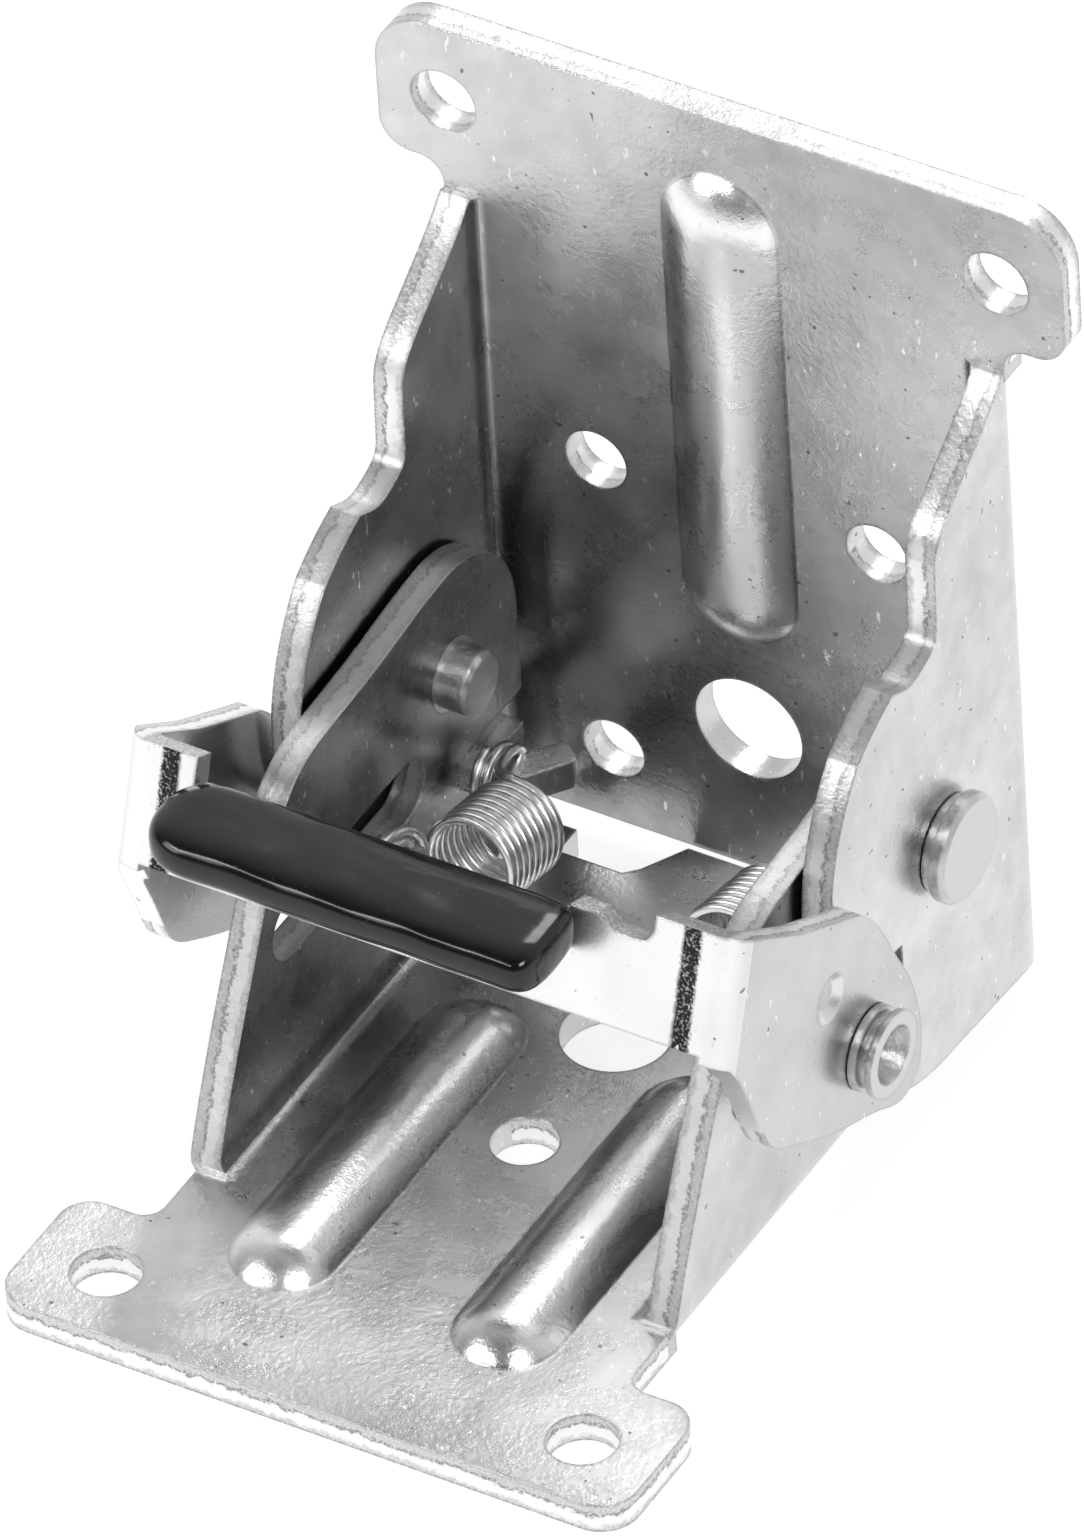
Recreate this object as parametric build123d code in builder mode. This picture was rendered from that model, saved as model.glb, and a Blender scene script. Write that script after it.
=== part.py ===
from math import cos, pi, radians, sin
import os

from build123d import *

os.makedirs("parts", exist_ok=True)

# Frame: X across the width, Z up and the front at minus Y. Z is zero under the lying
# bracket. Sketches take Y from the upright bracket's back, and the finished pieces all
# move by the same amount, so that the origin lies under the middle of the whole.

# Sheet and nested widths
sheet = 2.5
cheek_gap = 0.5
lower_outer = 20.5
lower_inner = lower_outer - sheet
upper_inner = lower_outer + cheek_gap
upper_outer = upper_inner + sheet
lower_bend = 1.5
upper_bend = 1.0
past = 5.0

# Fold pivot with its solid rivets
pivot_y = -14.1
pivot_z = 23.2
pivot_r = 3.0
pivot_tip_r = 2.6
pivot_tip = 2.6
pivot_head_r = 4.3
pivot_head = 2.0
pivot_collar_r = 3.8
pivot_collar = 0.8
run_clear = 0.06
chamfer_small = 0.4
head_clear = 0.1

# Lock pins and the slots that they slide in
pin_y = -30.5
pin_z = 17.3
pin_r = 2.5
pin_clear = 0.15
pin_bore_r = 1.5
pin_cup_r = 2.35
pin_cup_deep = 1.6
pin_flange_r = 3.45
pin_collar_r = 3.35
pin_neck_r = 2.65
flange_thick = 0.6
pin_inner = 12.3
pin_stop = 15.3
pin_outer = 28.2
pin_travel = 7.2
slot_front = -40.7
slot_rear = -18.7
fold_angle = 90.0
ramp_clear = 0.35
notch_tip_y = -20.9
notch_tip_half = 1.25

# Upper bracket
channel_top = 59.0
flange_base = channel_top + 2.3
flange_top = flange_base + 12.6
upper_neck_half = upper_outer - 0.1
upper_flange_half = upper_neck_half + 5.2
flange_corner = 4.5
flange_heel = 2.5
upper_neck_fillet = 2.0
upper_base = sheet + 0.05
screw_r = 2.7
upper_screw_x = upper_flange_half - 5.6
upper_screw_z = flange_top - 6.8
small_hole_r = 2.56
small_hole_x = 11.8
small_hole_low = 9.5
small_hole_high = 37.35
upper_big_r = 4.5
upper_big_z = 16.0
upper_rib_half = 4.95
upper_rib_low = 24.6
upper_rib_high = 68.6
upper_rib_rise = 2.1
rib_wall = 2.2
lobe_r = 19.8
lobe_heel = 2.5
crest_angle = 108.6
shoulder = ((-3, channel_top), (-5, 57), (-8, 54.8), (-10.5, 53), (-12.6, 51.2), (-13.6, 49.0))
shoulder_end = (-13.8, 43.4)
shoulder_dip = ((-15.3, 41.5), (-17.1, 41.0))

# Lower bracket
channel_front = -50.0
lower_flange_back = channel_front - 6.4
lower_front = lower_flange_back - 12.4
lower_neck_half = lower_outer - 0.7
lower_flange_half = lower_neck_half + 6.5
lower_flange_corner = 3.0
lower_neck_fillet = 1.7
lower_screw_x = lower_flange_half - 6.3
lower_screw_y = lower_front + 6.0
lower_hole_r = 2.58
lower_hole_y = -36.65
lower_big_r = 4.2
lower_big_y = -23.3
lower_rib_x = 9.4
lower_rib_half = 4.25
lower_rib_front = -59.3
lower_rib_back = -24.4
lower_rib_rise = 2.1
tongue_back = -2.9
tongue_half = 5.6
tongue_foot_half = 7.6
recess_back = -7.5
recess_half = 14.0
cheek_back = -4.8
cheek_round = cheek_back - pivot_y
cheek_slope = ((-17.5, 32.3), (-24, 31.5), (-31, 31), (-35.2, 30.2), (-38.2, 28.0), (-40.5, 23.6), (-42, 20.3),
               (-44.9, 14.5), (-48.4, 7), (channel_front, 3))

# Spring lugs bent in from the lower cheeks
lug_low = 11.9
lug_high = 14.4
lug_front_y = -14.0
lug_back_y = -11.5
lug_neck_x = 13.7
lug_tip_x = 10.4
lug_tip_y = -9.6
lug_tip_round = 0.7

# Release lever
lever_sheet = 2.0
lever_gap = 0.6
lever_inner = upper_outer + lever_gap
lever_outer = lever_inner + lever_sheet
lever_bend = 0.7
bar_top = (-46.3, 39.2)
bar_low = (-49.4, 30.0)
relief_left = -19.6
relief_right = 18.6
relief_deep = 3.0
relief_round = 0.8
relief_lean = 0.6
hump_x = 13.9
hump_foot = 0.3
hump_slope = 1.6
hump_deep = 1.3
dip_deep = 2.3
bar_height = 9.7
arm_top = (bar_top, (-45.5, 38.8), (-44.2, 38.2), (-38.8, 34.5), (-33.2, 31.4), (-30.6, 30.0))
arm_rear = ((-30.6, 30.0), (-29.3, 28.6), (-27.8, 26.3), (-26.2, 22.9), (-24.6, 19.8), (-23.5, 16.5),
            (-23.1, 12.4), (-23.9, 9.9), (-26.0, 8.9), (-29.1, 10.1), (-34.5, 12.5), (-42.0, 16.6),
            (-44.4, 18.5), (-45.4, 20.4), (-46.4, 23.2), (-47.5, 26.0), (-48.7, 28.9))
arm_toe = ((-48.7, 28.9), (-49.9, 29.6), (-47.5, 39.6), bar_top)
bar_span = 40.0
tab_left = -18.9
tab_right = 11.4
tab_front = -53.4
tab_high = 37.4
tab_bend = 1.2
tab_root = ((-48.0, 33.0), (-46.3, 33.0), (-45.0, 36.0), (-46.6, tab_high))
dimple_r = 1.95
dimple_deep = 0.6
dimple_slope = 50
dimple_y = -35.4
dimple_z = 25.7

# Grip dipped over the lever's tab
grip_left = -20.5
grip_right = 12.6
grip_front = -54.7
grip_back = -47.6
grip_low = 34.5
grip_high = 38.4
grip_left_round = 3.3
grip_right_round = 2.6

# Wire springs
wire_r = 0.4
coil_r = 3.6
coil_x = 10.8
coil_front = (-24.6, 15.7)
coil_slope = -0.22
coil_turns = 8
coil_pitch = 0.86
loop_pitch = 0.84
front_loop_r = pin_r + wire_r + 0.15
rear_loop_r = 2.45
rear_loop_centre = ((lug_front_y + lug_back_y) / 2, (lug_low + lug_high) / 2)
rear_loop_x = 14.6
rear_loops = 2
front_loop_x = 14.75
front_loops = 1.75
wire_points = 12


def side_plane(x):
    """Sketch plane across the width, with its own X along Y and its Y up."""
    return Plane(origin=(x, 0, 0), x_dir=(0, 1, 0), z_dir=(1, 0, 0))


def other_side(solid):
    """The same solid on the other side of the bracket."""
    return mirror(solid, about=Plane.YZ)


def turned(point, angle):
    """A place in the side view after a turn about the fold pivot."""
    y, z = point[0] - pivot_y, point[1] - pivot_z
    a = radians(angle)
    return (pivot_y + y * cos(a) - z * sin(a), pivot_z + y * sin(a) + z * cos(a))


def from_pivot(radius, angle):
    """A place in the side view at a radius and an angle from the fold pivot."""
    a = radians(angle)
    return (pivot_y + radius * cos(a), pivot_z + radius * sin(a))


def capsule(radius, start, end, face):
    """A round bar with round ends, kept on the outer side of a plane."""
    axis = Vector(*end) - Vector(*start)
    with BuildPart() as bar:
        with BuildSketch(Plane(origin=start, z_dir=axis)):
            Circle(radius)
        extrude(amount=axis.length)
        with Locations(start, end):
            Sphere(radius)
        split(bisect_by=face, keep=Keep.TOP)
    return bar.part


def rib_radius(half, rise):
    """Radius of a round rib that stands out by its rise on a foot of two halves."""
    return (half**2 + rise**2) / (2 * rise)


def turned_profile(points):
    """A solid turned about the X axis from its outline of x and radius."""
    with BuildPart() as lathe:
        with BuildSketch(Plane.XY):
            with BuildLine():
                Polyline(*points, close=True)
            make_face()
        revolve(axis=Axis.X)
    return lathe.part


# Upper bracket: a channel, cut to the side view of its cheeks
crest = from_pivot(lobe_r, crest_angle)
rim_front = from_pivot(lobe_r, 180)
rim_low = from_pivot(lobe_r, 270)
pin_path = []
for step in range(13):
    part_way = step / 12
    seat = (pin_y - pin_travel * part_way, pin_z)
    pin_path.append(turned(seat, -fold_angle * part_way))
ramp_inner = []
ramp_outer = []
for step in range(12):
    along = Vector(*pin_path[step + 1]) - Vector(*pin_path[max(step - 1, 0)])
    inward = Vector(along.Y, -along.X).normalized() * (pin_r + ramp_clear)
    ramp_inner.append(Vector(*pin_path[step]) + inward)
    ramp_outer.append(Vector(*pin_path[step]) - inward * 3)

with BuildPart() as upper_bracket:
    with BuildSketch(Plane.XY.offset(upper_base)):
        with Locations((0, -lobe_r)):
            Rectangle(2 * upper_outer, 2 * lobe_r)
        fillet(vertices().group_by(Axis.Y)[-1], upper_bend + sheet)
    extrude(amount=channel_top - upper_base)
    with BuildSketch(Plane.XY.offset(upper_base)):
        with Locations((0, -sheet - lobe_r)):
            Rectangle(2 * upper_inner, 2 * lobe_r)
        fillet(vertices().group_by(Axis.Y)[-1], upper_bend)
    extrude(amount=channel_top - upper_base, mode=Mode.SUBTRACT)
    with BuildSketch(side_plane(-upper_outer)):
        with BuildLine():
            Polyline(rim_low, (-lobe_heel, upper_base), (past, upper_base), (past, channel_top), shoulder[0])
            Spline(*shoulder)
            Line(shoulder[-1], shoulder_end)
            Spline(shoulder_end, *shoulder_dip, crest, tangents=((0, -1), (-0.9, 0.43)))
            RadiusArc(crest, rim_front, -lobe_r)
            RadiusArc(rim_front, rim_low, -lobe_r)
        make_face()
    extrude(amount=2 * upper_outer, mode=Mode.INTERSECT)
    # Lock notch: a seat for the pin, a wedge to the pivot side and the ramp that it folds along
    with BuildSketch(side_plane(-upper_outer)):
        with Locations((pin_y, pin_z)):
            Circle(pin_r + ramp_clear)
        with BuildLine():
            Polyline((pin_y, pin_z - pin_r - pin_clear), (notch_tip_y, pin_z - notch_tip_half),
                     (notch_tip_y, pin_z + notch_tip_half), (pin_y, pin_z + pin_r + pin_clear),
                     (pin_y - past, pin_z + pin_r + pin_clear), (pin_y - past, pin_z - pin_r - pin_clear),
                     close=True)
        make_face()
        with BuildLine():
            Spline(*ramp_inner)
            Polyline(ramp_inner[-1], *reversed(ramp_outer), ramp_inner[0])
        make_face()
    extrude(amount=2 * upper_outer, mode=Mode.SUBTRACT)
    # Mounting plate
    with BuildSketch(Plane.XZ):
        with BuildLine():
            Polyline((-upper_neck_half, channel_top - 1), (-upper_neck_half, flange_base),
                     (-upper_flange_half, flange_base), (-upper_flange_half, flange_top),
                     (upper_flange_half, flange_top), (upper_flange_half, flange_base),
                     (upper_neck_half, flange_base), (upper_neck_half, channel_top - 1), close=True)
        make_face()
        fillet(vertices().group_by(Axis.Y)[-1], flange_corner)
        fillet(vertices().group_by(Axis.X)[0].sort_by(Axis.Y)[0], flange_heel)
        fillet(vertices().group_by(Axis.X)[-1].sort_by(Axis.Y)[0], flange_heel)
        fillet(vertices().filter_by_position(Axis.X, -upper_neck_half - 0.01, upper_neck_half + 0.01)
               .filter_by_position(Axis.Y, flange_base - 0.01, flange_base + 0.01), upper_neck_fillet)
    extrude(amount=sheet)
    # Stamped rib, raised at the front and hollow behind
    rib_r = rib_radius(upper_rib_half, upper_rib_rise)
    rib_y = -sheet - upper_rib_rise + rib_r
    rib_ends = ((0, rib_y, upper_rib_low + upper_rib_half), (0, rib_y, upper_rib_high - upper_rib_half))
    add(capsule(rib_r, *rib_ends, Plane.XZ.offset(sheet / 2)))
    add(capsule(rib_r - rib_wall, *rib_ends, Plane.XZ.offset(-past)), mode=Mode.SUBTRACT)
    # Screw holes, plate holes and the pivot holes through both cheeks
    with BuildSketch(Plane.XZ):
        with Locations((-upper_screw_x, upper_screw_z), (upper_screw_x, upper_screw_z)):
            Circle(screw_r)
        with Locations((-small_hole_x, small_hole_low), (small_hole_x, small_hole_low),
                       (-small_hole_x, small_hole_high), (small_hole_x, small_hole_high)):
            Circle(small_hole_r)
        with Locations((0, upper_big_z)):
            Circle(upper_big_r)
    extrude(amount=sheet, mode=Mode.SUBTRACT)
    with BuildSketch(side_plane(-upper_outer)):
        with Locations((pivot_y, pivot_z)):
            Circle(pivot_r + run_clear)
    extrude(amount=2 * upper_outer, mode=Mode.SUBTRACT)

# Lower bracket: a channel lying on its back, cut to its own cheeks
with BuildPart() as lower_bracket:
    with BuildSketch(Plane.XZ.offset(-tongue_back)):
        with Locations((0, pivot_z)):
            Rectangle(2 * lower_outer, 2 * pivot_z)
        fillet(vertices().group_by(Axis.Y)[0], lower_bend + sheet)
    extrude(amount=tongue_back - channel_front)
    with BuildSketch(Plane.XZ.offset(-tongue_back)):
        with Locations((0, pivot_z + sheet)):
            Rectangle(2 * lower_inner, 2 * pivot_z)
        fillet(vertices().group_by(Axis.Y)[0], lower_bend)
    extrude(amount=tongue_back - channel_front, mode=Mode.SUBTRACT)
    with BuildSketch(side_plane(-lower_outer)):
        with BuildLine():
            Polyline((cheek_back, 0), (cheek_back, pivot_z))
            RadiusArc((cheek_back, pivot_z), (pivot_y, pivot_z + cheek_round), -cheek_round)
            Spline((pivot_y, pivot_z + cheek_round), *cheek_slope)
            Polyline(cheek_slope[-1], (channel_front, 0), (cheek_back, 0))
        make_face()
        with Locations(((cheek_back + tongue_back) / 2, sheet / 2)):
            Rectangle(cheek_back - tongue_back, sheet)
        with Locations(((slot_front + slot_rear) / 2, pin_z)):
            SlotOverall(slot_rear - slot_front, 2 * (pin_r + pin_clear), mode=Mode.SUBTRACT)
        with Locations((pivot_y, pivot_z)):
            Circle(pivot_r, mode=Mode.SUBTRACT)
    extrude(amount=2 * lower_outer, mode=Mode.INTERSECT)
    # Rear edge: a tongue in the middle and a step back on both sides of it
    with BuildSketch():
        for side in (-1, 1):
            with BuildLine():
                Polyline((side * tongue_half, past), (side * tongue_half, tongue_back),
                         (side * tongue_foot_half, recess_back + 1), (side * (tongue_foot_half + 1), recess_back),
                         (side * recess_half, recess_back), (side * recess_half, cheek_back),
                         (side * (lower_outer + 1), cheek_back), (side * (lower_outer + 1), past), close=True)
            make_face()
    extrude(amount=sheet, mode=Mode.SUBTRACT)
    # Mounting plate in front
    with BuildSketch():
        with BuildLine():
            Polyline((-lower_neck_half, channel_front + 1), (-lower_neck_half, lower_flange_back),
                     (-lower_flange_half, lower_flange_back), (-lower_flange_half, lower_front),
                     (lower_flange_half, lower_front), (lower_flange_half, lower_flange_back),
                     (lower_neck_half, lower_flange_back), (lower_neck_half, channel_front + 1), close=True)
        make_face()
        fillet(vertices().group_by(Axis.Y)[0], lower_flange_corner)
        fillet(vertices().group_by(Axis.X)[0].sort_by(Axis.Y)[-1], flange_heel)
        fillet(vertices().group_by(Axis.X)[-1].sort_by(Axis.Y)[-1], flange_heel)
        fillet(vertices().filter_by_position(Axis.X, -lower_neck_half - 0.01, lower_neck_half + 0.01)
               .filter_by_position(Axis.Y, lower_flange_back - 0.01, lower_flange_back + 0.01),
               lower_neck_fillet)
    extrude(amount=sheet)
    # Two stamped ribs
    for side in (-1, 1):
        low_rib_r = rib_radius(lower_rib_half, lower_rib_rise)
        low_rib_z = sheet + lower_rib_rise - low_rib_r
        low_rib_ends = ((side * lower_rib_x, lower_rib_front + lower_rib_half, low_rib_z),
                        (side * lower_rib_x, lower_rib_back - lower_rib_half, low_rib_z))
        add(capsule(low_rib_r, *low_rib_ends, Plane.XY.offset(sheet / 2)))
        add(capsule(low_rib_r - rib_wall, *low_rib_ends, Plane.XY.offset(-past)), mode=Mode.SUBTRACT)
    # Screw holes and plate holes
    with BuildSketch():
        with Locations((-lower_screw_x, lower_screw_y), (lower_screw_x, lower_screw_y)):
            Circle(screw_r)
        with Locations((0, lower_hole_y)):
            Circle(lower_hole_r)
        with Locations((0, lower_big_y)):
            Circle(lower_big_r)
    extrude(amount=sheet, mode=Mode.SUBTRACT)
    # Spring lugs, cut free of the cheeks' rear edge and bent inwards
    with BuildSketch(side_plane(-lower_outer)):
        with Locations(((lug_back_y + cheek_back + past) / 2, (lug_low + lug_high) / 2)):
            Rectangle(cheek_back + past - lug_back_y, lug_high - lug_low + 2 * chamfer_small)
    extrude(amount=2 * lower_outer, mode=Mode.SUBTRACT)
    lug_lean = Vector(lug_tip_x - lug_neck_x, lug_tip_y - lug_front_y).normalized()
    lug_side = Vector(lug_lean.Y, -lug_lean.X) * (lug_back_y - lug_front_y)
    lug_back = Vector(lug_tip_x, lug_tip_y) + lug_side
    lug_heel_x = lug_back.X - (lug_back.Y - lug_back_y) * lug_lean.X / lug_lean.Y
    for side in (-1, 1):
        with BuildSketch(Plane.XY.offset(lug_low)):
            with BuildLine():
                Polyline((side * (lower_inner + 1), lug_front_y), (side * lug_neck_x, lug_front_y),
                         (side * lug_tip_x, lug_tip_y), (side * lug_back.X, lug_back.Y),
                         (side * lug_heel_x, lug_back_y), (side * (lower_inner + 1), lug_back_y), close=True)
            make_face()
            fillet(vertices().filter_by_position(Axis.Y, lug_tip_y - 0.1, past), lug_tip_round)
        extrude(amount=lug_high - lug_low)

# Solid rivets on the fold pivot: head outside, shank through both cheeks, turned-down tip inside
rivet_face = upper_outer + head_clear
right_pivot_rivet = turned_profile([
    (lower_inner - pivot_tip, 0), (lower_inner - pivot_tip, pivot_tip_r - chamfer_small),
    (lower_inner - pivot_tip + chamfer_small, pivot_tip_r), (lower_inner, pivot_tip_r), (lower_inner, pivot_r),
    (rivet_face, pivot_r), (rivet_face, pivot_collar_r), (rivet_face + pivot_collar, pivot_collar_r),
    (rivet_face + pivot_collar, pivot_head_r), (rivet_face + pivot_head - chamfer_small, pivot_head_r),
    (rivet_face + pivot_head, pivot_head_r - chamfer_small), (rivet_face + pivot_head, 0)])
right_pivot_rivet = Location((0, pivot_y, pivot_z)) * right_pivot_rivet

# Lock pins: hollow rivets through the lever arm, the lock notch and the cheek slot
face_x = lever_outer + head_clear
right_lock_pin = turned_profile([
    (pin_inner, pin_bore_r), (pin_inner, pin_flange_r - chamfer_small),
    (pin_inner + flange_thick / 2, pin_flange_r - chamfer_small / 2),
    (pin_inner + flange_thick, pin_r), (pin_stop, pin_r), (pin_stop, pin_flange_r - chamfer_small),
    (pin_stop + flange_thick, pin_flange_r - chamfer_small), (pin_stop + flange_thick, pin_r),
    (face_x, pin_r), (face_x, pin_collar_r), (face_x + flange_thick, pin_collar_r),
    (face_x + flange_thick, pin_neck_r), (face_x + flange_thick + 0.3, pin_neck_r),
    (face_x + flange_thick + 0.3, pin_neck_r + 0.35), (face_x + flange_thick + 0.7, pin_neck_r + 0.35),
    (pin_outer - 0.8, pin_neck_r), (pin_outer - 0.5, pin_flange_r), (pin_outer, pin_flange_r),
    (pin_outer, pin_cup_r), (pin_outer - pin_cup_deep, pin_bore_r)])
right_lock_pin = Location((0, pin_y, pin_z)) * right_lock_pin

# Release lever: a channel on the lean of its bar, cut to the side view of its arms
bar_up = Vector(0, bar_top[0] - bar_low[0], bar_top[1] - bar_low[1]).normalized()
bar_back = Vector(0, bar_up.Z, -bar_up.Y)
bar_plane = Plane(origin=(0, *bar_low), x_dir=(1, 0, 0), z_dir=bar_up)
with BuildPart() as release_lever:
    with BuildSketch(bar_plane.offset(-bar_span)):
        with Locations((0, bar_span / 2)):
            Rectangle(2 * lever_outer, bar_span)
        fillet(vertices().group_by(Axis.Y)[0], lever_bend + lever_sheet)
    extrude(amount=bar_span * 1.5)
    with BuildSketch(bar_plane.offset(-bar_span)):
        with Locations((0, bar_span / 2 + lever_sheet)):
            Rectangle(2 * lever_inner, bar_span)
        fillet(vertices().group_by(Axis.Y)[0], lever_bend)
    extrude(amount=bar_span * 1.5, mode=Mode.SUBTRACT)
    with BuildSketch(side_plane(-lever_outer)):
        with BuildLine():
            Polyline(*arm_top)
            Spline(*arm_rear)
            Polyline(*arm_toe)
        make_face()
        with Locations((pin_y, pin_z)):
            Circle(pin_r + run_clear, mode=Mode.SUBTRACT)
    extrude(amount=2 * lever_outer, mode=Mode.INTERSECT)
    # Below the bar only the arms and their bends go on
    with BuildSketch(bar_plane):
        with Locations((0, bar_span / 2)):
            Rectangle(2 * (lever_outer - lever_bend - lever_sheet), bar_span * 2)
    extrude(amount=-bar_span, mode=Mode.SUBTRACT)
    # Reliefs in the bar's top edge, and the tab between them bent forward
    with BuildSketch(Plane(origin=(0, *bar_low), x_dir=(1, 0, 0), z_dir=-bar_back)):
        with BuildLine():
            Polyline((relief_left, bar_height - relief_deep), (tab_left, bar_height - relief_deep),
                     (tab_right, bar_height - relief_deep), (tab_right + hump_foot, bar_height - hump_deep),
                     (hump_x, bar_height - hump_deep), (hump_x + hump_slope, bar_height - dip_deep),
                     (relief_right - relief_lean, bar_height - dip_deep), (relief_right, bar_height - hump_deep),
                     (relief_right, bar_height + past), (relief_left, bar_height + past), close=True)
        make_face()
        fillet(vertices().filter_by_position(Axis.X, hump_x, relief_right - relief_lean), relief_round)
    extrude(amount=past, both=True, mode=Mode.SUBTRACT)
    with BuildSketch(side_plane(tab_left)):
        with BuildLine():
            Polyline((tab_front, tab_high - lever_sheet), (tab_root[0][0], tab_high - lever_sheet), *tab_root,
                     (tab_front, tab_high), close=True)
        make_face()
        for corner in tab_root[2:]:
            fillet(vertices().sort_by_distance((*corner, 0))[0], tab_bend)
    extrude(amount=tab_right - tab_left)
    # Dimple pressed into each arm
    for side in (-1, 1):
        with BuildSketch(side_plane(side * lever_outer)):
            with Locations((dimple_y, dimple_z)):
                Circle(dimple_r)
        extrude(amount=-side * dimple_deep, taper=dimple_slope, mode=Mode.SUBTRACT)

# Grip dipped over the tab: its plan, cut to its side view and hollowed by the tab
with BuildPart() as lever_grip:
    with BuildSketch(Plane.XY.offset(grip_low)):
        with BuildLine():
            Polyline((grip_left, grip_back), (grip_left, grip_front), (grip_right, grip_front),
                     (grip_right, grip_back), close=True)
        make_face()
        fillet(vertices().group_by(Axis.X)[0], grip_left_round)
        fillet(vertices().group_by(Axis.X)[-1], grip_right_round)
    extrude(amount=grip_high - grip_low)
    with BuildSketch(side_plane(grip_left)):
        with BuildLine():
            Polyline((grip_back, grip_low), (grip_back, grip_high - 0.2), (tab_front - 0.1, grip_high),
                     (grip_front, grip_high - 1.2), (grip_front, grip_low + 1.2), (tab_front, grip_low),
                     close=True)
        make_face()
        fillet(vertices().filter_by_position(Axis.X, grip_front - 0.1, tab_front + 0.1), 0.9)
    extrude(amount=grip_right - grip_left, mode=Mode.INTERSECT)
    add(release_lever.part, mode=Mode.SUBTRACT)


def wire(points):
    """A round wire along a smooth path through the points."""
    with BuildPart() as bent:
        with BuildLine() as path:
            Spline(*points)
        with BuildSketch(Plane(origin=path.line @ 0, z_dir=path.line % 0)):
            Circle(wire_r)
        sweep(is_frenet=True)
    return bent.part


# Springs: loops round the lug, a close coil and loops round the lock pin's inner end
spring_points = []
rear_y, rear_z = rear_loop_centre
steps = int(rear_loops * wire_points)
for step in range(steps + 1):
    turn = 2 * pi * (step - steps) / wire_points
    x = rear_loop_x + loop_pitch * (steps - step) / wire_points
    spring_points.append((x, rear_y - rear_loop_r * sin(turn), rear_z + rear_loop_r * cos(turn)))
coil_axis = Vector(0, -1, -coil_slope).normalized()
coil_up = Vector(0, coil_axis.Z, -coil_axis.Y)
coil_rear = Vector(coil_x, *coil_front) - coil_axis * (coil_turns * coil_pitch)
steps = int(coil_turns * wire_points) + wire_points // 4 + wire_points // 2
for step in range(steps + 1):
    turn = 2 * pi * step / wire_points
    centre = coil_rear + coil_axis * (coil_pitch * step / wire_points)
    place = centre + Vector(-1, 0, 0) * (coil_r * sin(turn)) + coil_up * (coil_r * cos(turn))
    spring_points.append(tuple(place))
steps = int(front_loops * wire_points)
for step in range(steps + 1):
    turn = 2 * pi * step / wire_points
    x = front_loop_x - loop_pitch * step / wire_points
    spring_points.append((x, pin_y - front_loop_r * sin(turn), pin_z + front_loop_r * cos(turn)))
right_spring = wire(spring_points)

# The finished pieces, about the middle of the depth
to_middle = Location((0, -lower_front / 2, 0))
for name, item in (("upper_bracket", upper_bracket.part), ("lower_bracket", lower_bracket.part),
                   ("release_lever", release_lever.part), ("lever_grip", lever_grip.part),
                   ("right_pivot_rivet", right_pivot_rivet), ("left_pivot_rivet", other_side(right_pivot_rivet)),
                   ("right_lock_pin", right_lock_pin), ("left_lock_pin", other_side(right_lock_pin)),
                   ("right_spring", right_spring), ("left_spring", other_side(right_spring))):
    placed = to_middle * item
    placed.label = name
    export_step(placed, f"parts/{name}.step")
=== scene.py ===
from math import cos, pi, radians, sin

import bpy
import numpy as np
from mathutils import Matrix, Vector


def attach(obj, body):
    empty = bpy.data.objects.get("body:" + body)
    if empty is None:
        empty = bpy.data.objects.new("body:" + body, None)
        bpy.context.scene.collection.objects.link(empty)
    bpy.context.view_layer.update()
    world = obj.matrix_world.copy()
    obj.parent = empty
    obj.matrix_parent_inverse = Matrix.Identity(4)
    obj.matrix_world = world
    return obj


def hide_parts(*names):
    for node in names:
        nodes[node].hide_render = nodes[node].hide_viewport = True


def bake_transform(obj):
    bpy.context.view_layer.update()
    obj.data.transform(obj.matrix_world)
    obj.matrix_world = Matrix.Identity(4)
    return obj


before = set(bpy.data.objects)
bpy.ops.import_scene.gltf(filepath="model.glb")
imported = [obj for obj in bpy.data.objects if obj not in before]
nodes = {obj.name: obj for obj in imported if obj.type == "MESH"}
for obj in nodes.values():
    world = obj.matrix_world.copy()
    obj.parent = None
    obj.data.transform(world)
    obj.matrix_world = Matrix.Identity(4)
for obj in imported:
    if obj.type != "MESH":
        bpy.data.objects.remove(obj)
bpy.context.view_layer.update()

# Sizes of the part, in metres. Depths in this script start at the upright bracket's back,
# which lies MIDDLE behind the part's origin.
MM = 0.001
MIDDLE = 0.0344
SHEET = 0.0025
LEVER_SHEET = 0.002
UPPER_INNER = 0.021  # from the middle to a cheek's inner face, on the upright bracket
LOWER_INNER = 0.018  # the same on the lying bracket
LEVER_INNER = 0.0241  # from the middle to the inner face of a lever arm
LEVER_PAINTED_REFLECTION = 0.0217  # from the middle to the painted reflection, a dark band beside a bend of the lever

# Sizes of the springs, in mm
WIRE_RADIUS = 0.4
LOOP_PITCH = 0.84
LUG = (-12.75, 13.15)  # depth and height of the lug that the rear loops go round
LOCK_PIN = (-30.5, 17.3)  # depth and height of the pin that the front loops go round
COIL_FRONT = (10.8, -24.6, 15.7)
COIL_SLOPE = (0, -1, 0.22)


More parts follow.
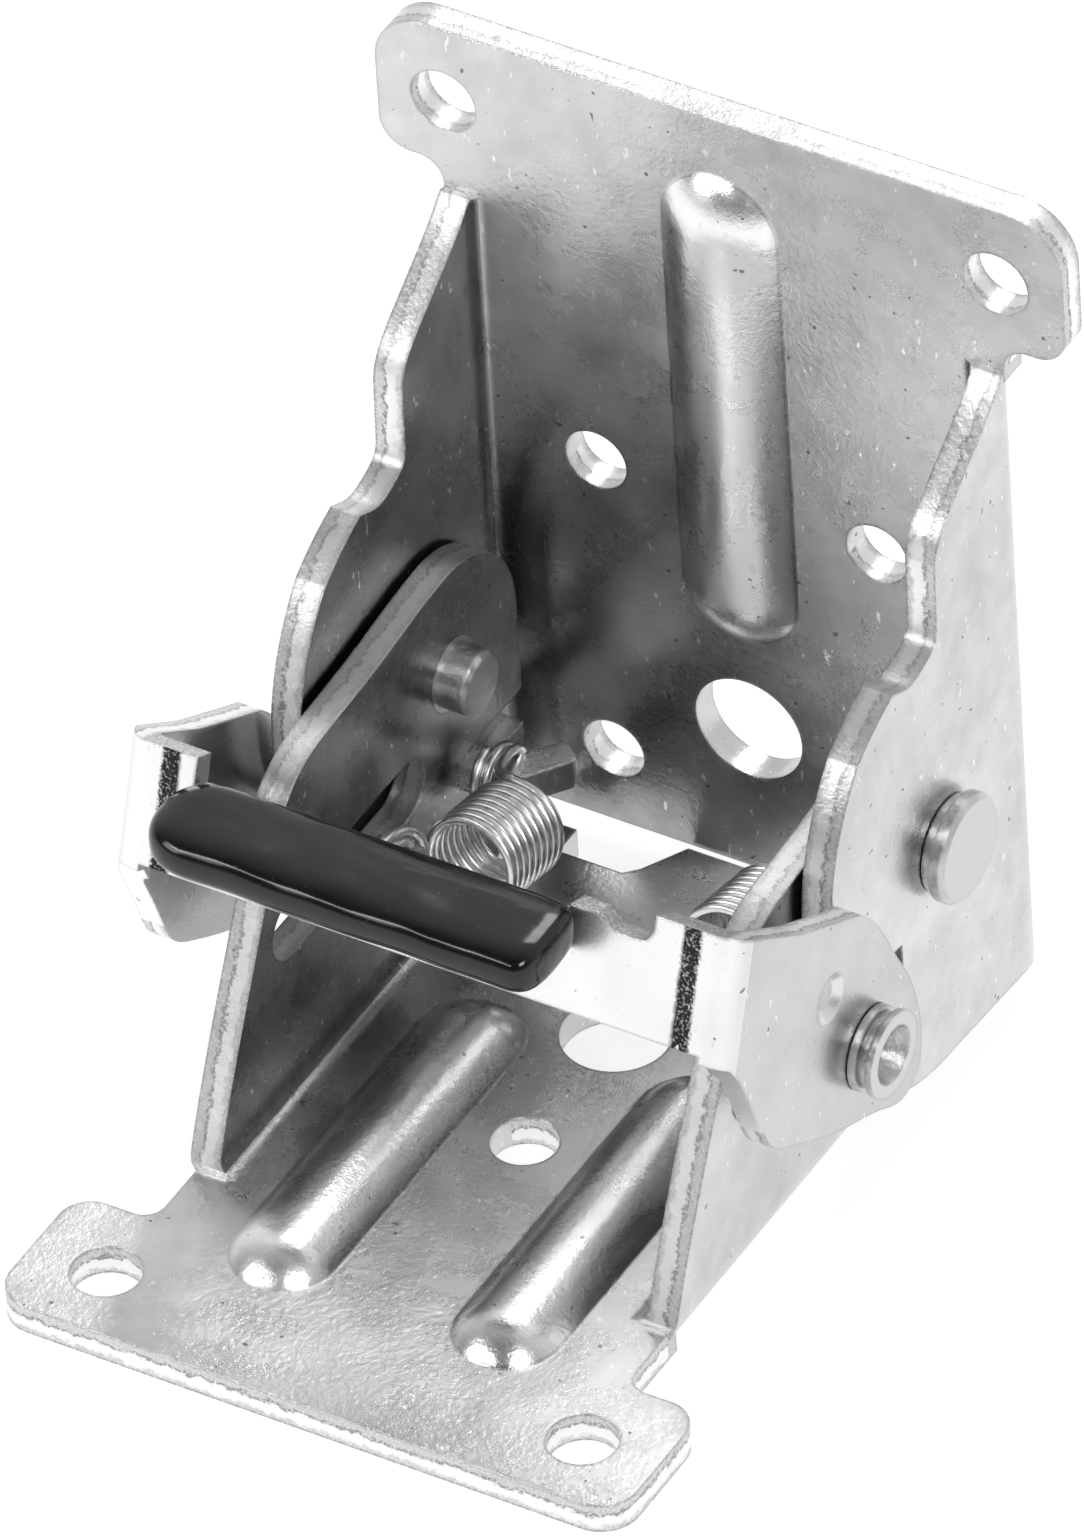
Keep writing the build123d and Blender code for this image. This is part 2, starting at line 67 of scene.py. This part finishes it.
# Shader writing: sockets as expressions, and one way to add any node
class Mask:
    """A socket that adds a Math node for each operator used on it."""

    def __init__(self, finish, socket):
        self.finish, self.socket = finish, socket

    def math(self, operation, *others, clamp=False):
        inputs = dict(enumerate((self, *others)))
        settings = {"operation": operation, "use_clamp": clamp}
        return self.finish.node("ShaderNodeMath", settings, inputs)["Value"]

    def __add__(self, other):
        return self.math("ADD", other)

    def __sub__(self, other):
        return self.math("SUBTRACT", other)

    def __rsub__(self, other):
        return (self * -1.0) + other

    def __mul__(self, other):
        return self.math("MULTIPLY", other)

    def __gt__(self, other):
        return self.math("GREATER_THAN", other)

    def __lt__(self, other):
        return self.math("LESS_THAN", other)

    __radd__ = __add__
    __rmul__ = __mul__

    def size(self):
        return self.math("ABSOLUTE")

    def either(self, other):
        return self.math("MAXIMUM", other)

    def fade(self, low, high):
        """0 at low and 1 at high, straight between them and held outside."""
        return ((self - low) * (1.0 / (high - low))).math("ADD", 0.0, clamp=True)


class Outputs:
    """The outputs of a node, each as a Mask, by name or number."""

    def __init__(self, finish, made):
        self.finish, self.made = finish, made

    def __getitem__(self, key):
        return Mask(self.finish, self.made.outputs[key])


class Finish:
    """A material that writes its own nodes."""

    def __init__(self, name):
        self.material = bpy.data.materials.new(name)
        self.write_in(self.material)
        spot = self.node("ShaderNodeTexCoord")
        from_back = {"Vector": spot["Object"], "Location": (0, -MIDDLE, 0)}
        self.place = self.node("ShaderNodeMapping", {}, from_back)["Vector"]
        self.facing = spot["Normal"]

    def write_in(self, owner):
        owner.use_nodes = True
        self.tree = owner.node_tree
        self.tree.nodes.clear()

    def node(self, kind, settings=None, inputs=None):
        """Adds a node, with its settings first and then its inputs, as values or links."""
        made = self.tree.nodes.new(kind)
        for name, value in (settings or {}).items():
            setattr(made, name, value)
        for name, value in (inputs or {}).items():
            if isinstance(value, Mask):
                self.tree.links.new(value.socket, made.inputs[name])
            else:
                made.inputs[name].default_value = value
        return Outputs(self, made)

    def noise(self, scale, detail=2.0, stretch=(1, 1, 1), rough=0.5, shift=(0, 0, 0)):
        """Soft noise in the part's own place, with scale features a metre, squeezed by stretch."""
        spread = {"Vector": self.place, "Scale": stretch, "Location": shift}
        where = self.node("ShaderNodeMapping", {}, spread)["Vector"]
        inputs = {"Vector": where, "Scale": scale, "Detail": detail, "Roughness": rough}
        return self.node("ShaderNodeTexNoise", {}, inputs)["Fac"]

    def colour(self, mask, low, high):
        """The colour low where the mask is 0 and high where it is 1."""
        inputs = {0: mask, 6: low, 7: high}
        return self.node("ShaderNodeMix", {"data_type": "RGBA"}, inputs)[2]

    def relief(self, height, strength, depth, before=None):
        """A bump of that depth in metres over another normal."""
        inputs = {"Height": height, "Strength": strength, "Distance": depth}
        if before is not None:
            inputs["Normal"] = before
        return self.node("ShaderNodeBump", {}, inputs)["Normal"]

    def soft_edge(self, radius):
        """A normal that rounds every sharp edge by a radius in metres."""
        return self.node("ShaderNodeBevel", {"samples": 3}, {"Radius": radius})["Normal"]

    def close(self, **inputs):
        """Ends the material in a Principled surface."""
        sockets = {name.replace("_", " "): value for name, value in inputs.items()}
        surface = self.node("ShaderNodeBsdfPrincipled", {}, sockets)
        self.node("ShaderNodeOutputMaterial", {}, {"Surface": surface["BSDF"]})
        return self.material


def grey(shade):
    return (shade, shade, shade, 1.0)


def split(finish, vector):
    """The three parts of a vector socket."""
    parts = finish.node("ShaderNodeSeparateXYZ", {}, {"Vector": vector})
    return parts["X"], parts["Y"], parts["Z"]


def zinc_finish(name, areas, dark, light, shift=0.0, coarse=1.0, painted_reflection_at=None):
    """Bright zinc plating: smudged shade, fine peel, small nicks, and sheared edges with a torn
    line along them. dark and light are the ends of the smudged shade, shift moves the pattern,
    and coarse is how strong the peel and the painted shade on edges facing up or down are. areas
    takes place and facing and gives 1 on the cut edges, how far through the sheet they are, 1
    where shade is painted in, and 1 where a highlight is painted in. The last argument, when
    given, is how far out from the middle a painted reflection runs up the front: a dark band with
    light specks."""
    f = Finish(name)
    x, y, z = split(f, f.place)
    nx, ny, nz = split(f, f.facing)
    cut, through, painted_shade, painted_highlight = areas(x, y, z, nx.size(), ny.size(), nz.size())

    smudge = f.noise(75, 4, shift=(shift, 0, 0), rough=0.6)
    cloud = f.noise(300, 3, shift=(shift, 1, 0))
    wave = f.noise(150, 1, shift=(1, shift, 2))
    peel = f.noise(1900, 2, rough=0.6)
    grain = f.noise(5200, 2)
    torn = f.noise(900, 4, rough=0.7)
    fine = f.noise(4200, 3)
    nicks = f.noise(1500, 2, stretch=(1, 1, 0.45), shift=(3, shift, 0)).fade(0.69, 0.73)
    specks = f.noise(1300, 1, shift=(7, shift, 5)).fade(0.75, 0.78)

    # The flat faces, from the plating's smudged shade through painted shade, a painted highlight
    # and a painted reflection to the marks on it
    shade = (smudge * 0.6 + cloud * 0.4).fade(0.36, 0.66)
    plate = f.colour(shade, grey(dark), grey(light))
    # Painted shade: a darker copy of the plating where the areas ask for shade, on the cheeks'
    # inner faces, the upright plate's foot and the lever arms' sides
    painted_shade_tone = f.colour(shade, grey(dark * 0.34), grey(light * 0.48))
    plate = f.colour(painted_shade, plate, painted_shade_tone)
    # Painted highlight: near-white colour where the areas ask for a highlight, on the ribs, the
    # lug tops and the lever bar's front
    plate = f.colour(painted_highlight, plate, grey(0.93))
    # Painted reflection: a dark band with light specks up the bar's front beside each bend,
    # standing in for a dark thing mirrored in the bend
    if painted_reflection_at is not None:
        ragged = x.size() + (torn + fine - 1.0) * 0.0005
        painted_reflection = (ragged - painted_reflection_at).size().fade(0.0009, 0.0006) * (ny < -0.5) * (y < -0.0450)
        plate = f.colour(painted_reflection, plate, f.colour(fine.fade(0.52, 0.66), grey(0.03), grey(0.4)))
    plate = f.colour(nicks, plate, grey(0.85))
    plate = f.colour(specks * 0.75, plate, grey(0.1))

    # The sheared edges: a light crest, a dark torn line beside it, dark rims, and painted shade
    # where they face up or down
    depth = through + (torn - 0.5) * 0.7
    crest = (depth - 0.40).size().fade(0.26, 0.14)
    line = (depth - 0.64).size().fade(0.09, 0.03) * fine.fade(0.38, 0.5)
    rim = (through - 0.5).size().fade(0.40, 0.47) * fine.fade(0.40, 0.55)
    edge = f.colour(fine.fade(0.4, 0.65), grey(0.74), grey(0.58))
    edge = f.colour(crest, edge, grey(0.97))
    edge = f.colour(line.either(rim * 0.7) * 0.75, edge, grey(0.22))
    # Painted shade: edge faces that point up or down are darker, scaled by coarse
    edge = f.colour(nz.size() * 0.55 * coarse, edge, grey(0.6))

    rough = 0.15 + 0.10 * smudge + 0.09 * shade + 0.05 * grain + cut * 0.14
    bump = f.relief(peel * 0.75 + grain * 0.25, 0.5 * coarse, 0.00008, f.soft_edge(0.00035))
    bump = f.relief(wave, 0.2, 0.0003, bump)
    bump = f.relief(torn * 0.6 * cut, 0.5, 0.0002, bump)
    tone = f.colour(cut, plate, edge)
    return f.close(Base_Color=tone, Metallic=1.0, Roughness=rough, Normal=bump)


def upper_edges(x, y, z, nx, ny, nz):
    """The upright bracket: top and bottom edges, the cheeks' front edges and the plate's side
    edges are cut, shade is painted on the cheeks' inner faces and on the foot of the plate,
    darker towards the bottom and the right, and a highlight is painted on the rib."""
    out = x.size()
    cheek = (out > UPPER_INNER - 0.0001) * (y < -0.0026)
    ends = (nz > 0.35) * (out > 0.006)
    cheek_front = (ny > 0.25) * cheek * (nx < 0.5)
    side = (nx > 0.5) * (z > 0.0592) * (out > 0.0075)
    through_cheek = (out - UPPER_INNER) * (1 / SHEET) * cheek
    through_plate = (y * (-1 / SHEET)) * (1.0 - cheek)
    # Painted shade on the cheeks' inner faces, and on the foot of the plate, more towards the
    # bottom and the right
    inside = (nx > 0.5) * (out < UPPER_INNER + 0.0003) * (out > UPPER_INNER - 0.0005)
    plate_front = (ny > 0.5) * (y < -0.0022) * (y > -0.0028)
    foot = plate_front * (z.fade(0.050, 0.030) * 0.5 + x.fade(0.004, 0.018) * 0.3)
    # Painted highlight on the rib
    rib = (y < -0.0027) * (y > -0.0050) * out.fade(0.0055, 0.0042) * (z > 0.024) * (nx < 0.8)
    cut = ends.either(cheek_front).either(side)
    return cut, through_cheek + through_plate, inside.either(foot), rib


def lower_edges(x, y, z, nx, ny, nz):
    """The lying bracket: front and rear edges, the cheeks' top edges and the plate's side edges
    are cut, shade is painted on the cheeks' inner faces, and a highlight is painted on the ribs
    and the lugs' tops."""
    out = x.size()
    cheek = (out > LOWER_INNER - 0.0002) * (z > 0.003)
    ends = (ny > 0.6) * (z < 0.00245) * (nz < 0.3)
    cheek_top = (nx < 0.5) * cheek
    side = (nx > 0.5) * (y < -0.0502) * (out > 0.015)
    through_cheek = (out - LOWER_INNER) * (1 / SHEET) * cheek
    through_plate = (z * (1 / SHEET)) * (1.0 - cheek)
    # Painted shade on the cheeks' inner faces
    inside = (nx > 0.5) * (out < LOWER_INNER + 0.0004) * (out > LOWER_INNER - 0.0005)
    # Painted highlight on the ribs' crowns and the lugs' tops
    ribs = (z > 0.0027) * (z < 0.0050) * (out < 0.0137) * nz.fade(0.5, 0.95)
    lug = (z > 0.0118) * (z < 0.0146) * (out < 0.0145) * nz
    cut = ends.either(cheek_top).either(side)
    return cut, through_cheek + through_plate, inside, ribs.either(lug)


def lever_edges(x, y, z, nx, ny, nz):
    """The lever: every edge face of the arms and of the bar's top and bottom is cut, a little
    shade is painted on the arms' side faces, and a highlight is painted on the bar's front."""
    out = x.size()
    arm = (out > LEVER_INNER - 0.0002) * (nx < 0.4) * (y > -0.0455)
    bar = (nz > 0.8) * (y > -0.0478)
    # Painted highlight on the bar's front; the arms' side faces get a little painted shade
    front = ny.fade(0.55, 0.85) * (y < -0.045)
    return arm.either(bar), (out - LEVER_INNER) * (1 / LEVER_SHEET), (nx > 0.9) * 0.35, front


def turned_finish(name):
    """Turned and peened zinc-plated steel, with rings round its axis and small dents."""
    f = Finish(name)
    ring = f.noise(2600, 3, stretch=(6, 1, 1))
    dents = f.noise(850, 2)
    end_face = split(f, f.facing)[0].size().fade(0.5, 0.9)
    round_side = 1.0 - end_face
    worn = dents.fade(0.35, 0.65) * round_side + (1.0 - round_side) * 0.8
    shade = f.colour(worn, grey(0.46), grey(0.68))
    marks = (dents * 0.7 + ring * 0.3) * (0.25 + 0.75 * round_side)
    bump = f.relief(marks, 0.8, 0.00025, f.soft_edge(0.0004))
    return f.close(Base_Color=shade, Metallic=1.0, Roughness=0.24 + 0.14 * ring, Normal=bump)


def wire_finish(name):
    """Bright drawn spring wire with fine scuffs."""
    f = Finish(name)
    scuff = f.noise(1900, 3)
    shade = f.colour(scuff.fade(0.3, 0.7), grey(0.78), grey(0.97))
    bump = f.relief(scuff, 0.2, 0.00003)
    return f.close(Base_Color=shade, Metallic=1.0, Roughness=0.24 + 0.12 * scuff, Normal=bump)


def vinyl_finish(name):
    """Black dipped vinyl: glossy, rippled where it ran, with faint dust and handling marks."""
    f = Finish(name)
    ripple = f.noise(150, 2, stretch=(0.45, 1, 1))
    run = f.noise(330, 2, stretch=(0.4, 1, 1), shift=(2, 1, 0))
    dust = f.noise(3200, 3).fade(0.66, 0.8)
    shade = f.colour(dust, grey(0.004), grey(0.03))
    bump = f.relief(ripple * 0.7 + run * 0.3, 0.8, 0.0006)
    rough = 0.11 + 0.07 * ripple + 0.25 * dust
    return f.close(Base_Color=shade, Roughness=rough, Normal=bump)


finishes = {
    "upper": zinc_finish("zinc_upper", upper_edges, 0.54, 0.76),
    "lower": zinc_finish("zinc_lower", lower_edges, 0.52, 0.72, shift=0.3),
    "lever": zinc_finish("zinc_lever", lever_edges, 0.70, 0.80, shift=0.7, coarse=0.3,
                         painted_reflection_at=LEVER_PAINTED_REFLECTION),
    "rivet": turned_finish("rivet_steel"),
    "wire": wire_finish("spring_wire"),
    "vinyl": vinyl_finish("grip_vinyl"),
}


def dress(node, finish):
    """Gives a carried-over node its finish."""
    mesh = nodes[node].data
    mesh.materials.clear()
    mesh.materials.append(finishes[finish])


dress("upper_bracket", "upper")
dress("lower_bracket", "lower")
dress("release_lever", "lever")
for hand in ("left", "right"):
    dress(hand + "_pivot_rivet", "rivet")
    dress(hand + "_lock_pin", "rivet")


# New pieces, each a grid of points
def add_object(name, data):
    """A new object at the origin, in the scene."""
    made = bpy.data.objects.new(name, data)
    bpy.context.scene.collection.objects.link(made)
    return made


def mesh_from_grid(name, grid, finish):
    """A mesh from rings of points in mm, joined ring to ring, with a cap on each end ring."""
    rings, around = grid.shape[:2]
    index = np.arange(rings * around).reshape(rings, around)
    after = np.roll(index, -1, axis=1)
    quads = np.stack([index[:-1], after[:-1], after[1:], index[1:]], axis=-1).reshape(-1, 4)
    caps = [tuple(index[0][::-1].tolist()), tuple(index[-1].tolist())]
    points = grid.reshape(-1, 3) * MM + np.array([0, MIDDLE, 0])
    mesh = bpy.data.meshes.new(name)
    mesh.from_pydata(points.tolist(), [], [tuple(quad) for quad in quads.tolist()] + caps)
    mesh.validate()
    mesh.shade_smooth()
    made = add_object(name, mesh)
    mesh.materials.append(finishes[finish])
    return made


def loop_run(centre, x_start, x_end, radius, turns, end_angle):
    """Loops about an X axis: x runs evenly while the angle from the top turns at an even rate.
    Gives the path and its outward side."""
    t = np.linspace(0, 1, int(turns * 36) + 1)
    angle = end_angle - 2 * pi * turns * (1 - t)
    out = np.stack([np.zeros_like(t), -np.sin(angle), np.cos(angle)], -1)
    depth, height = (np.full_like(t, value) for value in centre)
    middle = np.stack([x_start + (x_end - x_start) * t, depth, height], -1)
    return middle + radius * out, out


def coil_run(front, axis, radius, pitch, turns, extra):
    """A close coil: the centre runs along the axis by one pitch a turn, for turns up to front and
    the extra part of a turn past it. Gives the path and its outward side."""
    total = turns + extra
    t = np.linspace(0, 1, int(total * 36) + 1)
    angle = 2 * pi * total * t
    up = np.array([0.0, axis[2], -axis[1]])
    out = -np.sin(angle)[:, None] * np.array([1.0, 0, 0]) + np.cos(angle)[:, None] * up
    middle = front - axis * pitch * turns + axis * pitch * total * t[:, None]
    return middle + radius * out, out


def bridge(before, after, count=14):
    """A smooth leg between two runs: a cubic that leaves and arrives along them, while its
    outward side turns evenly from one to the other."""
    (a, out_a), (b, out_b) = before, after
    leave, arrive = a[-1] - a[-2], b[1] - b[0]
    reach = np.linalg.norm(b[0] - a[-1])
    leave, arrive = (v / np.linalg.norm(v) * reach * 1.1 for v in (leave, arrive))
    t = np.linspace(0, 1, count + 2)[1:-1, None]
    path = ((2 * t**3 - 3 * t**2 + 1) * a[-1] + (t**3 - 2 * t**2 + t) * leave
            + (3 * t**2 - 2 * t**3) * b[0] + (t**3 - t**2) * arrive)
    return path, out_a[-1] * (1 - t) + out_b[0] * t


def spring(name, hand):
    """Wire carried along loops round the lug, a close coil and loops round the lock pin: each
    ring is a circle in the plane square to the path, set out from the path's outward side.
    hand is -1 on the left, where the right spring is mirrored, and 1 on the right."""
    rear_loops, rear_x = 2, 14.6
    front_loops, front_x = 1.75, 14.75
    slope = np.array(COIL_SLOPE)
    rear = loop_run(LUG, rear_x + LOOP_PITCH * rear_loops, rear_x, 2.45, rear_loops, 0.0)
    coil = coil_run(np.array(COIL_FRONT), slope / np.linalg.norm(slope), 3.6, 0.86, 8, 0.75)
    front = loop_run(LOCK_PIN, front_x, front_x - LOOP_PITCH * front_loops, 3.05, front_loops,
                     2 * pi * front_loops)
    runs = [rear, bridge(rear, coil), coil, bridge(coil, front), front]
    path = np.concatenate([run[0] for run in runs])
    out = np.concatenate([run[1] for run in runs])
    along = np.gradient(path, axis=0)
    along /= np.linalg.norm(along, axis=1)[:, None]
    out -= (out * along).sum(1)[:, None] * along
    out /= np.linalg.norm(out, axis=1)[:, None]
    across = np.cross(along, out)
    angle = np.linspace(0, 2 * pi, 12, endpoint=False)[None, :, None]
    ring = np.cos(angle) * out[:, None] + np.sin(angle) * across[:, None]
    grid = path[:, None] + WIRE_RADIUS * ring
    if hand < 0:
        grid = (grid * np.array([-1, 1, 1]))[:, ::-1]
    made = mesh_from_grid(name, grid, "wire")
    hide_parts(name.replace("_wire", ""))
    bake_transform(made)


def vinyl_grip():
    """Dipped grip, ring by ring along X: each ring is a rounded oblong of half depth a and half
    height b, with |y/a| to the power 3 and |z/b| to the power 2.8 adding up to 1. a and b fall
    off to the ends as quarter rounds, and the front sags in long waves."""
    left, right, back, front, low, high = -20.55, 12.65, -46.2, -54.75, 34.45, 38.5
    left_round, right_round, tip = 4.6, 2.6, 0.03
    t = np.linspace(0, pi, 73)
    x = (left + right) / 2 - (right - left) / 2 * np.cos(t)
    from_left = 1 - np.clip((x - left) / left_round, 0, 1)
    from_right = 1 - np.clip((right - x) / right_round, 0, 1)
    plan = (1 - from_left**2.4)**(1 / 2.4) * (1 - from_right**3.2)**(1 / 3.2)
    side = (1 - from_left**3.4)**(1 / 3.4) * (1 - from_right**4.0)**(1 / 4.0)
    plan, side = np.maximum(plan, tip), np.maximum(side, tip)
    sag = 0.12 * np.sin(x * 0.42 + 1.0) + 0.08 * np.sin(x * 0.9)
    angle = np.linspace(0, 2 * pi, 48, endpoint=False)
    c, s = np.cos(angle), np.sin(angle)
    y_round = np.sign(c) * np.abs(c)**(2 / 3.0)
    z_round = np.sign(s) * np.abs(s)**(2 / 2.8)
    half_depth, half_height = (back - front) / 2, (high - low) / 2
    grid = np.empty((len(x), len(angle), 3))
    grid[:, :, 0] = x[:, None]
    grid[:, :, 1] = (back + front) / 2 + (half_depth * plan)[:, None] * y_round
    grid[:, :, 2] = (high + low) / 2 + (half_height * side)[:, None] * z_round
    grid[:, :, 2] += sag[:, None] * (c < 0) * 0.5
    made = mesh_from_grid("vinyl_grip", grid, "vinyl")
    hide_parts("lever_grip")
    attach(made, "lever")


spring("left_spring_wire", -1)
spring("right_spring_wire", 1)
vinyl_grip()


# Studio: pale floor, white surroundings that are darker above the front, and four soft lamps
def floor_paper():
    """Matt paper for the light that it throws, and white with a faint shadow where the camera,
    a reflection or glass sees it directly."""
    f = Finish("floor_paper")
    rays = f.node("ShaderNodeLightPath")
    seen = rays["Is Camera Ray"].either(rays["Is Glossy Ray"]).either(rays["Is Transmission Ray"])
    fibre = f.noise(900, 3)
    matt = f.node("ShaderNodeBsdfDiffuse", {}, {"Color": f.colour(fibre, grey(0.91), grey(0.95))})
    faint = f.node("ShaderNodeBsdfDiffuse", {}, {"Color": grey(0.33)})
    glow = f.node("ShaderNodeEmission", {}, {"Strength": 0.8})
    white = f.node("ShaderNodeAddShader", {}, {0: faint["BSDF"], 1: glow["Emission"]})
    paper = f.node("ShaderNodeMixShader", {}, {0: seen, 1: matt["BSDF"], 2: white["Shader"]})
    f.node("ShaderNodeOutputMaterial", {}, {"Surface": paper["Shader"]})
    return f.material


def studio_floor(reach):
    """One flat sheet under the part."""
    mesh = bpy.data.meshes.new("floor")
    corners = [(-reach, -reach, 0), (reach, -reach, 0), (reach, reach, 0), (-reach, reach, 0)]
    mesh.from_pydata(corners, [], [(0, 1, 2, 3)])
    mesh.materials.append(floor_paper())
    add_object("floor", mesh)


class Sky(Finish):
    """The surroundings, written with the same nodes as a material: white to the camera, dim
    above the front in reflections, and an even glow on everything."""

    def __init__(self):
        world = bpy.data.worlds.new("studio")
        bpy.context.scene.world = world
        self.write_in(world)
        x, y, z = split(self, self.node("ShaderNodeTexCoord")["Generated"])
        rays = self.node("ShaderNodeLightPath")
        camera, glossy = rays["Is Camera Ray"], rays["Is Glossy Ray"]
        front = (y * -1.0).fade(-0.35, 0.35) * z.fade(0.02, 0.25)
        mirrored = 1.0 - front * 0.86
        strength = camera + glossy * mirrored + (1.0 - camera.either(glossy)) * 0.45
        back = self.node("ShaderNodeBackground", {}, {"Strength": strength})
        self.node("ShaderNodeOutputWorld", {}, {"Surface": back["Background"]})


def lamp(name, place, size, power, height=None):
    """A soft lamp aimed at the middle of the bracket: square, or a strip where it has a height
    of its own."""
    data = bpy.data.lights.new(name, "AREA")
    data.size, data.energy = size, power
    if height:
        data.shape, data.size_y = "RECTANGLE", height
    made = add_object(name, data)
    made.location = place
    aim = Vector((0, 0, 0.03)) - Vector(place)
    made.rotation_euler = aim.to_track_quat("-Z", "Y").to_euler()


studio_floor(4)
Sky()
lamp("key", (0.9, -0.7, 1.1), 0.5, 8)
lamp("fill", (-0.9, -0.9, 0.8), 0.6, 4.5)
lamp("back", (-0.2, 1.0, 1.2), 0.6, 7)
lamp("strip", (-0.45, -0.95, 0.95), 0.9, 2.5, 0.07)


def photo_camera():
    """The photograph's camera, fitted from its straight edges: where it looks from, how it is
    rolled, and its focal length in pixels of a picture 1536 pixels high."""
    azimuth, elevation, roll = (radians(a) for a in (32.487, 40.627, 3.671))
    distance, focal, high, sensor = 2.040149, 28200, 1536, 36
    off_x, off_y = -0.84, -1.83
    target = np.array([-0.212, -30.582, 33.89]) * MM + np.array([0, MIDDLE, 0])
    back = np.array([sin(azimuth) * cos(elevation), -cos(azimuth) * cos(elevation),
                     sin(elevation)])
    right = np.cross(-back, (0, 0, 1))
    right /= np.linalg.norm(right)
    down = np.cross(-back, right)
    image_x = right * cos(roll) + down * sin(roll)
    image_y = down * cos(roll) - right * sin(roll)
    data = bpy.data.cameras.new("photo_camera")
    data.sensor_width = sensor
    data.lens = focal * sensor / high
    data.shift_x, data.shift_y = off_x / high, off_y / high
    data.clip_start, data.clip_end = 0.1, 50
    made = add_object("photo_camera", data)
    turn = Matrix(np.stack([image_x, -image_y, back], axis=1).tolist()).to_4x4()
    made.matrix_world = Matrix.Translation(target + back * distance) @ turn
    bpy.context.scene.camera = made


photo_camera()
bpy.context.scene.view_settings.view_transform = "Standard"
